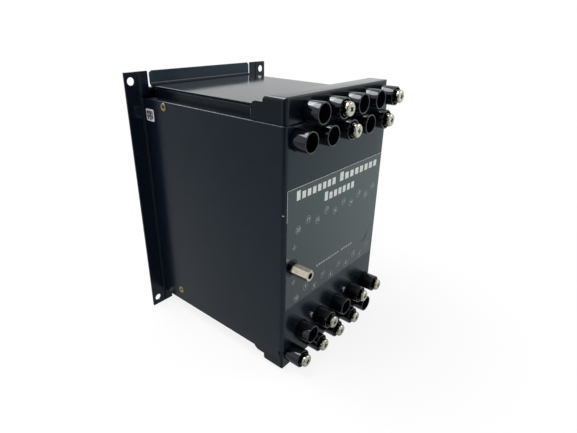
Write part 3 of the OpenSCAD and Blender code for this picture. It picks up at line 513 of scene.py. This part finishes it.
# The rear label: a dark printed film with a thin white border, circled terminal numbers and
# earth signs, stuck on the rear panel. The broad print is plain bars. A long arc on it is a scuff.
film = finish("label_film", (0.0175, 0.0235, 0.0260), (0.0205, 0.0265, 0.0285),
    roughness=0.24, spread=0.03, grain_scale=1800.0, depth=0.000005, mottle_scale=40.0,
    specular=0.62, specks=0.08, tint=(0.82, 1.0, 0.99))
softened("rear_label", 0.00005, film, "case")
print_y = rear + 0.00022


def flat(name, outlines, material, y=print_y, side=1, body="case"):
    """Thin print on an upright face, from outlines of (x, z) points; side is where it faces."""
    bm = bmesh.new()
    for outline in outlines:
        bm.faces.new([bm.verts.new((x, y, z)) for x, z in outline])
    bmesh.ops.recalc_face_normals(bm, faces=bm.faces)
    for face in bm.faces:
        if face.normal.y * side < 0:
            face.normal_flip()
    piece = placed(name, mesh_from(bm, name), material)
    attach(piece, body)


def bar(x0, x1, z0, z1):
    return [(x0, z0), (x1, z0), (x1, z1), (x0, z1)]


def strip_ring(x, z, radius, width, steps=36):
    rims = []
    for k in range(steps):
        a, b = 2 * math.pi * k / steps, 2 * math.pi * (k + 1) / steps
        rims.append([(x + r * math.cos(t), z + r * math.sin(t)) for r, t in
                     ((radius, a), (radius, b), (radius - width, b), (radius - width, a))])
    return rims


def blocks(start, end, count, low, tall, short):
    """A row of plain upright blocks, the first one taller."""
    step = (end - start) / count
    return [bar(start + step * k, start + step * (k + 0.66), low, low + (short if k else tall))
            for k in range(count)]


def earth_sign(x, z):
    """A stem over three bars, each shorter than the one above it."""
    return [bar(x - 0.0002, x + 0.0002, z, z + 0.0028),
            bar(x - 0.0026, x + 0.0026, z - 0.0002, z + 0.0002),
            bar(x - 0.0017, x + 0.0017, z - 0.0013, z - 0.0009),
            bar(x - 0.0008, x + 0.0008, z - 0.0024, z - 0.0020)]


bright_ink = finish("bright_ink", (0.72, 0.73, 0.71), (0.58, 0.60, 0.58),
    roughness=0.4, spread=0.05, grain_scale=1500.0, depth=0.000004, mottle_scale=500.0)
faint_ink = finish("faint_ink", (0.34, 0.37, 0.37), (0.16, 0.18, 0.18),
    roughness=0.4, spread=0.05, grain_scale=1500.0, depth=0.000004, mottle_scale=700.0)
border = [bar(-0.0666, 0.0666, 0.0477, 0.0480), bar(0.0663, 0.0666, 0.0235, 0.0480)]
flat("label_border", border, bright_ink)
first_block, next_block, fine_block = 0.0075, 0.0056, 0.0020
heading = []
for start, end, count, low in ((0.0560, 0.0045, 8, 0.0378), (0.0002, -0.0610, 8, 0.0378),
                               (0.0205, -0.0245, 7, 0.0268)):
    heading += blocks(start, end, count, low, first_block, next_block)
flat("label_heading", heading, bright_ink)
signs = []
for start, end, count in ((0.0273, -0.0070, 10), (-0.0100, -0.0284, 5)):
    signs += blocks(start, end, count, -0.0302, fine_block, fine_block)
for x, z in ((0.0572, 0.0005), (0.0574, -0.0300)):
    signs += earth_sign(x, z)
number_x, number_pitch = 0.0532, 0.01217
upper_rows, lower_rows = (0.0136, 0.0181), (-0.0476, -0.0423)
number_place = {}
for k in range(10):
    number_place[20 - k] = (number_x - number_pitch * k, upper_rows[k % 2])
    number_place[10 - k] = (number_x - number_pitch * k, lower_rows[k % 2])
circle_r, circle_line = 0.0033, 0.00026
for x, z in number_place.values():
    signs += strip_ring(x, z, circle_r, circle_line)
flat("label_signs", signs, faint_ink)
scuff_ink = finish("scuff", (0.0016, 0.0018, 0.0022), (0.0026, 0.0028, 0.0032),
    roughness=0.5, spread=0.05, grain_scale=1500.0, depth=0.000004, mottle_scale=500.0, specular=0.1)
scuff_start, scuff_bend, scuff_end = (-0.0543, -0.0250), (-0.0552, -0.0372), (-0.0401, -0.0344)
scuff_thin, scuff_swell, scuff_steps = 0.00008, 0.00042, 12
scuff = []
for k in range(scuff_steps + 1):
    t = k / scuff_steps
    x, z = [(1 - t) ** 2 * a + 2 * t * (1 - t) * b + t * t * c
            for a, b, c in zip(scuff_start, scuff_bend, scuff_end)]
    half = scuff_thin + scuff_swell * math.sin(math.pi * t)
    scuff.append(((x - half, z - half * 0.6), (x + half, z + half * 0.6)))
flat("label_scuff", [[a[0], b[0], b[1], a[1]] for a, b in zip(scuff, scuff[1:])], scuff_ink)
digit_tall = 0.0045
digits = bmesh.new()
for number, (x, z) in number_place.items():
    curve = bpy.data.curves.new("digits", "FONT")
    curve.body = str(number)
    curve.size = digit_tall
    curve.align_x = "CENTER"
    curve.align_y = "CENTER"
    holder = bpy.data.objects.new("digits", curve)
    bpy.context.scene.collection.objects.link(holder)
    graph = bpy.context.evaluated_depsgraph_get()
    shape = bpy.data.meshes.new_from_object(holder.evaluated_get(graph))
    shape.transform(Matrix(((-1, 0, 0, x), (0, 0, 1, print_y), (0, 1, 0, z), (0, 0, 0, 1))))
    digits.from_mesh(shape)
    bpy.data.objects.remove(holder)
for face in digits.faces:
    face.normal_update()
    if face.normal.y < 0:
        face.normal_flip()
number_ink = finish("number_ink", (0.46, 0.49, 0.48), (0.34, 0.37, 0.36),
    roughness=0.4, spread=0.05, grain_scale=1500.0, depth=0.000004, mottle_scale=700.0)
numbers = placed("label_numbers", mesh_from(digits, "label_numbers"), number_ink)
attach(numbers, "case")


# The small sticker on the side: white paper with rounded corners and plain dark marks.
# It is cut from a sheet and stuck beside the flange.
paper = finish("paper", (0.66, 0.67, 0.68), (0.56, 0.57, 0.58),
    roughness=0.6, spread=0.05, grain_scale=2500.0, depth=0.000006, mottle_scale=300.0)
sticker_x, sticker_t = 0.0697, 0.00015
near_y, far_y = 0.0038, 0.0146
low_z, high_z = 0.0744, 0.0846
corner_r = 0.0014
outline = []
for y, z, start in ((far_y, high_z, 0), (near_y, high_z, 90), (near_y, low_z, 180), (far_y, low_z, 270)):
    middle = (y + (corner_r if y == near_y else -corner_r), z + (corner_r if z == low_z else -corner_r))
    angles = [math.radians(start + 15 * k) for k in range(7)]
    outline += [(middle[0] + corner_r * math.cos(a), middle[1] + corner_r * math.sin(a)) for a in angles]
bm = bmesh.new()
low = [bm.verts.new((sticker_x, y, z)) for y, z in outline]
high = [bm.verts.new((sticker_x + sticker_t, y, z)) for y, z in outline]
bm.faces.new(high)
bm.faces.new(low[::-1])
for k in range(len(outline)):
    n = (k + 1) % len(outline)
    bm.faces.new((low[k], low[n], high[n], high[k]))
bmesh.ops.recalc_face_normals(bm, faces=bm.faces)
sticker = placed("side_sticker_skin", mesh_from(bm, "side_sticker_skin"), paper)
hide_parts("side_sticker")
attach(sticker, "case")
sticker_ink = finish("sticker_ink", (0.016, 0.017, 0.022), (0.03, 0.03, 0.036),
    roughness=0.5, spread=0.05, grain_scale=1500.0, depth=0.000004, mottle_scale=500.0)
mark_x = sticker_x + sticker_t + 0.00002
marks_mm = ((6.0, 82.0, 1.4, 1.1), (6.2, 80.2, 1.0, 0.8), (5.9, 78.4, 1.5, 0.7), (6.3, 76.6, 0.9, 0.9),
            (9.4, 82.2, 1.7, 0.9), (9.6, 80.4, 1.3, 1.0), (9.3, 78.5, 1.8, 0.8), (9.7, 76.5, 1.2, 0.9),
            (12.3, 81.6, 0.8, 1.5), (12.2, 78.0, 0.9, 1.6))
bm = bmesh.new()
for y, z, half_y, half_z in marks_mm:
    square = ((-1, -1), (1, -1), (1, 1), (-1, 1))
    bm.faces.new([bm.verts.new((mark_x, (y + a * half_y) / 1000, (z + b * half_z) / 1000))
                  for a, b in square])
printed = placed("sticker_marks", mesh_from(bm, "sticker_marks"), sticker_ink)
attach(printed, "case")


# The draw-out contacts in the case: moulded phenolic bars that hold stamped brass straps.
# The chassis runs in grooved nylon runners on the sides.
dressed(phenolic, "upper_contact_block", "lower_contact_block")
dressed(brass, "contact_straps")
nylon = finish("nylon", (0.66, 0.63, 0.54), (0.60, 0.57, 0.48),
    roughness=0.42, spread=0.05, grain_scale=800.0, depth=0.00001, mottle_scale=60.0)
dressed(nylon, "guide_runners")


# The chassis: a folded zinc-plated cradle behind a satin dark grey front panel, screwed on.
# The panel's dial marks and frames are printed. Moulded blocks behind its top and bottom carry
# stamped brass fingers.
dressed(zinc, "cradle")
panel_grey = finish("panel_grey", (0.035, 0.038, 0.042), (0.045, 0.048, 0.052),
    roughness=0.42, spread=0.05, grain_scale=1500.0, depth=0.00003, mottle_scale=60.0)
softened("front_panel", 0.0002, panel_grey, "chassis")
knob_x, knob_z = 0.028, 0.030
dial_in, dial_long, dial_short, dial_half = 0.0132, 0.0156, 0.0148, 0.00025
panel_print = []
for x in (-knob_x, knob_x):
    for k in range(11):
        turn = math.radians(-150 + 30 * k)
        across = Vector((math.cos(turn), -math.sin(turn)))
        along = Vector((math.sin(turn), math.cos(turn)))
        low, high = along * dial_in, along * (dial_long if k % 5 == 0 else dial_short)
        edge = across * dial_half
        corners = (low - edge, low + edge, high + edge, high - edge)
        panel_print.append([(x + q.x, knob_z + q.y) for q in corners])
target_x, target_z = 0.014, -0.055
half_x, half_z, line = 0.0062, 0.0052, 0.0004
for x in (-target_x, target_x):
    for end in (-1, 1):
        rail_z, rail_x = target_z + end * half_z, x + end * half_x
        panel_print.append(bar(x - half_x, x + half_x, rail_z - line / 2, rail_z + line / 2))
        panel_print.append(bar(rail_x - line / 2, rail_x + line / 2, target_z - half_z, target_z + half_z))
lens_z, lens_ring = 0.060, 0.0042
button_z, button_ring = -0.025, 0.0062
rings = [(x, lens_z, lens_ring) for x in (-knob_x, 0.0, knob_x)]
rings += [(x, button_z, button_ring) for x in (-knob_x, 0.0)]
for x, z, radius in rings:
    panel_print += strip_ring(x, z, radius, line)
panel_print_y = -0.00168
flat("panel_print", panel_print, bright_ink, y=panel_print_y, side=-1, body="chassis")
softened("panel_screws", 0.0002, nickel, "chassis")
softened("upper_finger_block", 0.0003, phenolic, "chassis")
softened("lower_finger_block", 0.0003, phenolic, "chassis")
dressed(brass, "contact_fingers")


# The circuit boards: green glass laminate, sawn to size.
# They are screwed to round plated standoffs on the panel and the cradle's sides.
laminate = finish("laminate", (0.012, 0.075, 0.032), (0.018, 0.10, 0.045),
    roughness=0.34, spread=0.05, grain_scale=350.0, depth=0.00002, mottle_scale=150.0)
dressed(laminate, "control_board", "logic_board", "power_board")
dressed(nickel, "front_standoffs", "side_standoffs")


# What is soldered to the boards: moulded packages, sleeved capacitors and plain relay cans.
# The transformer has a varnished core and a taped coil. The pots, switches and target housings
# sit behind the panel.
package = finish("package", (0.012, 0.012, 0.013), (0.018, 0.018, 0.019),
    roughness=0.5, spread=0.05, grain_scale=1500.0, depth=0.00002, mottle_scale=100.0)
softened("chips", 0.0003, package, "chassis")
sleeve = finish("sleeve", (0.012, 0.022, 0.10), (0.016, 0.028, 0.12),
    roughness=0.25, spread=0.05, grain_scale=300.0, depth=0.00001, mottle_scale=60.0)
softened("capacitors", 0.0008, sleeve, "chassis")
can_steel = finish("can_steel", (0.33, 0.31, 0.24), (0.28, 0.26, 0.20),
    roughness=0.35, spread=0.05, grain_scale=700.0, depth=0.00001, mottle_scale=60.0)
softened("relay_cans", 0.0008, can_steel, "chassis")
varnish = finish("varnish", (0.06, 0.063, 0.07), (0.09, 0.093, 0.10),
    roughness=0.4, spread=0.06, grain_scale=300.0, depth=0.00003, mottle_scale=80.0, metallic=0.6)
softened("transformer_core", 0.0003, varnish, "chassis")
tape = finish("tape", (0.45, 0.27, 0.05), (0.52, 0.33, 0.08),
    roughness=0.38, spread=0.05, grain_scale=400.0, depth=0.00003, mottle_scale=70.0)
softened("transformer_coil", 0.0015, tape, "chassis")
dressed(zinc, "setting_pots")
dressed(package, "switch_bodies")
softened("target_housings", 0.0002, package, "chassis")


# The indicators: tinted plastic domes pushed into the panel from behind.
# The posts for the cover's nuts are plated hexagonal bar with turned, threaded ends, set in the panel.
lens = finish("lens", (0.42, 0.012, 0.010), (0.36, 0.010, 0.008),
    roughness=0.12, spread=0.03, grain_scale=300.0, depth=0.000004, mottle_scale=60.0)
dressed(lens, "led_lenses")
softened("cover_posts", 0.0003, nickel, "chassis")


# The connection plugs: moulded phenolic grips with finger hollows.
# Brass blades are set in them and bridge the contacts of case and chassis.
softened("upper_plug", 0.0005, phenolic, "upper_plug")
softened("lower_plug", 0.0005, phenolic, "lower_plug")
dressed(brass, "upper_blades", "lower_blades")


# The controls: moulded skirted knobs with a pointer line, red test buttons and the reset button.
# The square target drums turn on two pins. They are painted orange in front, and black on the
# other faces.
knob_black = finish("knob_black", (0.012, 0.012, 0.013), (0.017, 0.017, 0.018),
    roughness=0.4, spread=0.05, grain_scale=1200.0, depth=0.00002, mottle_scale=80.0)
softened("pickup_knob", 0.0004, knob_black, "pickup_knob")
softened("time_knob", 0.0004, knob_black, "time_knob")
pointer_half, pointer_low, pointer_high, pointer_y = 0.00045, 0.0312, 0.0412, -0.01396
for knob, x in (("pickup_knob", -knob_x), ("time_knob", knob_x)):
    pointer = bar(x - pointer_half, x + pointer_half, pointer_low, pointer_high)
    flat(knob + "_line", [pointer], bright_ink, y=pointer_y, side=-1, body=knob)
red = finish("red_moulding", (0.30, 0.010, 0.008), (0.26, 0.008, 0.007),
    roughness=0.25, spread=0.05, grain_scale=600.0, depth=0.00001, mottle_scale=60.0)
dressed(red, "test_button_left", "test_button_right")
dressed(package, "reset_button")
orange = finish("target_orange", (0.65, 0.12, 0.012), (0.58, 0.10, 0.010),
    roughness=0.5, spread=0.05, grain_scale=900.0, depth=0.00001, mottle_scale=60.0)
drum_black = (0.015, 0.015, 0.016)
orange_end, black_start = 0.0032, 0.0034
tree, place = coordinates(orange)
behind = add(tree, "ShaderNodeSeparateXYZ", {0: place}).outputs["Y"]
recoloured(orange, ranged(tree, behind, orange_end, black_start, 0.0, 1.0), drum_black)
softened("target_left", 0.0003, orange, "target_left")
softened("target_right", 0.0003, orange, "target_right")


# The cover: a moulded black hood with a clear pane and a rubber gasket round its edge.
# Two knurled nuts hold it on the posts, and a plated rod through it presses the reset button.
softened("cover_frame", 0.001, phenolic, "cover")
pane = bpy.data.materials.new("pane")
pane.use_nodes = True
tree = pane.node_tree
shader = tree.nodes["Principled BSDF"]
shader.inputs["Transmission Weight"].default_value = 1.0
shader.inputs["IOR"].default_value = 1.3
shader.inputs["Specular IOR Level"].default_value = 0.3
clear, dusty = (0.97, 0.98, 0.98, 1.0), (0.92, 0.93, 0.92, 1.0)
marks = marked(tree, grain_scale=900.0, mottle_scale=30.0)
tree.links.new(ranged(tree, marks["Mottle"], 0.3, 0.7, 0.0, 0.012), shader.inputs["Roughness"])
tree.links.new(blended(tree, marks["Specks"], clear, dusty), shader.inputs["Base Color"])
softened("cover_window", 0.0004, pane, "cover")
rubber = finish("rubber", (0.014, 0.014, 0.014), (0.020, 0.020, 0.020),
    roughness=0.7, spread=0.06, grain_scale=900.0, depth=0.00003, mottle_scale=80.0)
dressed(rubber, "cover_gasket")
softened("reset_rod", 0.0005, nickel, "reset_rod")
softened("thumb_nut_left", 0.00025, nickel, "thumb_nut_left")
softened("thumb_nut_right", 0.00025, nickel, "thumb_nut_right")


# The studio: a pale floor, a white surround, a broad lamp overhead, a weaker one at the side and
# a large one in front that shows only in gloss, as light lines along rounded edges.
# The room is dim on one side, so upright corners that face it turn dark.
floor_z, floor_reach = -0.1146, 4
floor_corners = [(-floor_reach, -floor_reach), (floor_reach, -floor_reach), (floor_reach, floor_reach),
                 (-floor_reach, floor_reach)]
floor_mesh = bpy.data.meshes.new("floor")
floor_mesh.from_pydata([(x, y, floor_z) for x, y in floor_corners], [], [(0, 1, 2, 3)])


def seen_white(tree):
    path = add(tree, "ShaderNodeLightPath").outputs
    either = maths(tree, "MAXIMUM", path["Is Camera Ray"], path["Is Glossy Ray"])
    return maths(tree, "MAXIMUM", either, path["Is Transmission Ray"])


white = (1.0, 1.0, 1.0, 1.0)
pale = bpy.data.materials.new("pale_floor")
pale.use_nodes = True
tree = pale.node_tree
tree.nodes.clear()
body = add(tree, "ShaderNodeBsdfDiffuse", {"Color": (0.95, 0.95, 0.95, 1.0)})
glow = add(tree, "ShaderNodeEmission", {"Color": white, "Strength": 1.0})
spot = add(tree, "ShaderNodeTexCoord").outputs["Object"]
reach = vectors(tree, "LENGTH", spot)["Value"]
share = maths(tree, "MULTIPLY", seen_white(tree), ranged(tree, reach, 0.25, 0.75, 0.85, 1.0))
glossy = add(tree, "ShaderNodeLightPath").outputs["Is Glossy Ray"]
dim_place, dim_size = (0.95, 0.70, floor_z), (0.62, 0.62, 1.0)
lit_place, lit_size = (-1.10, 1.15, floor_z), (1.55, 1.55, 1.0)
plain_grey, lit_grey, dim_grey = (0.52, 0.53, 0.54, 1.0), (0.86, 0.98, 0.99, 1.0), (0.10, 0.11, 0.13, 1.0)
dim = near(tree, spot, dim_place, dim_size)
lit = near(tree, spot, lit_place, lit_size)
mirrored = blended(tree, lit, plain_grey, lit_grey)
mirrored = blended(tree, dim, mirrored, dim_grey)
tree.links.new(blended(tree, glossy, white, mirrored), glow.inputs["Color"])
mixed = add(tree, "ShaderNodeMixShader", {0: share, 1: body.outputs[0], 2: glow.outputs[0]})
add(tree, "ShaderNodeOutputMaterial", {"Surface": mixed.outputs[0]})
floor = placed("floor", floor_mesh, pale)
world = bpy.data.worlds.new("studio")
bpy.context.scene.world = world
world.use_nodes = True
tree = world.node_tree
tree.nodes.clear()
level = ranged(tree, seen_white(tree), 0.0, 1.0, 0.55, 1.0)
glossy = add(tree, "ShaderNodeLightPath").outputs["Is Glossy Ray"]
direction = add(tree, "ShaderNodeTexCoord").outputs["Generated"]
dim_side = (0.80, 0.57, 0.19)
facing = vectors(tree, "DOT_PRODUCT", direction, dim_side)["Value"]
shade = maths(tree, "MULTIPLY", ranged(tree, facing, 0.78, 0.93, 0.0, 1.0), glossy)
tone = blended(tree, shade, white, (0.12, 0.13, 0.15, 1.0))
sky = add(tree, "ShaderNodeBackground", {"Color": tone, "Strength": level})
add(tree, "ShaderNodeOutputWorld", {"Surface": sky.outputs[0]})


def lamp(name, place, target, size, power, gloss_only=False):
    data = bpy.data.lights.new(name, "AREA")
    data.shape = "RECTANGLE"
    data.size, data.size_y = size
    data.energy = power
    held = bpy.data.objects.new(name, data)
    held.location = place
    held.rotation_euler = (Vector(target) - Vector(place)).to_track_quat("-Z", "Y").to_euler()
    held.visible_diffuse = not gloss_only
    bpy.context.scene.collection.objects.link(held)


lamp("overhead", (0.25, -0.25, 0.95), (0.0, 0.08, 0.0), (0.7, 0.5), 9.0)
lamp("side", (-0.8, 0.9, 0.55), (0.0, 0.1, 0.0), (0.5, 0.5), 3.0)
lamp("strip", (-0.10, -0.78, 0.92), (0.05, 0.1, 0.05), (0.8, 0.75), 12.0, gloss_only=True)


# The camera stands behind the relay, above it and to its left, with a wide lens close by.
# Its place and turn are those fitted to the photograph, for a picture 577 pixels wide.
azimuth, elevation, roll = math.radians(129.115), math.radians(24.631), math.radians(1.186)
camera_place = (0.281707, 0.335908, 0.156844)
focal_px, picture_px, sensor = 432.418, 577, 36.0
back = Vector((math.sin(azimuth) * math.cos(elevation), -math.cos(azimuth) * math.cos(elevation),
    math.sin(elevation)))
level_right = Vector((0, 0, 1)).cross(back).normalized()
level_up = back.cross(level_right)
right = math.cos(roll) * level_right + math.sin(roll) * level_up
up = -math.sin(roll) * level_right + math.cos(roll) * level_up
camera_data = bpy.data.cameras.new("camera")
camera_data.sensor_width = sensor
camera_data.lens = focal_px / picture_px * sensor
camera_data.clip_start = 0.01
camera = bpy.data.objects.new("camera", camera_data)
axes = Matrix((right, up, back)).transposed().to_4x4()
camera.matrix_world = Matrix.Translation(camera_place) @ axes
bpy.context.scene.collection.objects.link(camera)
bpy.context.scene.camera = camera
bpy.context.scene.view_settings.view_transform = "Standard"
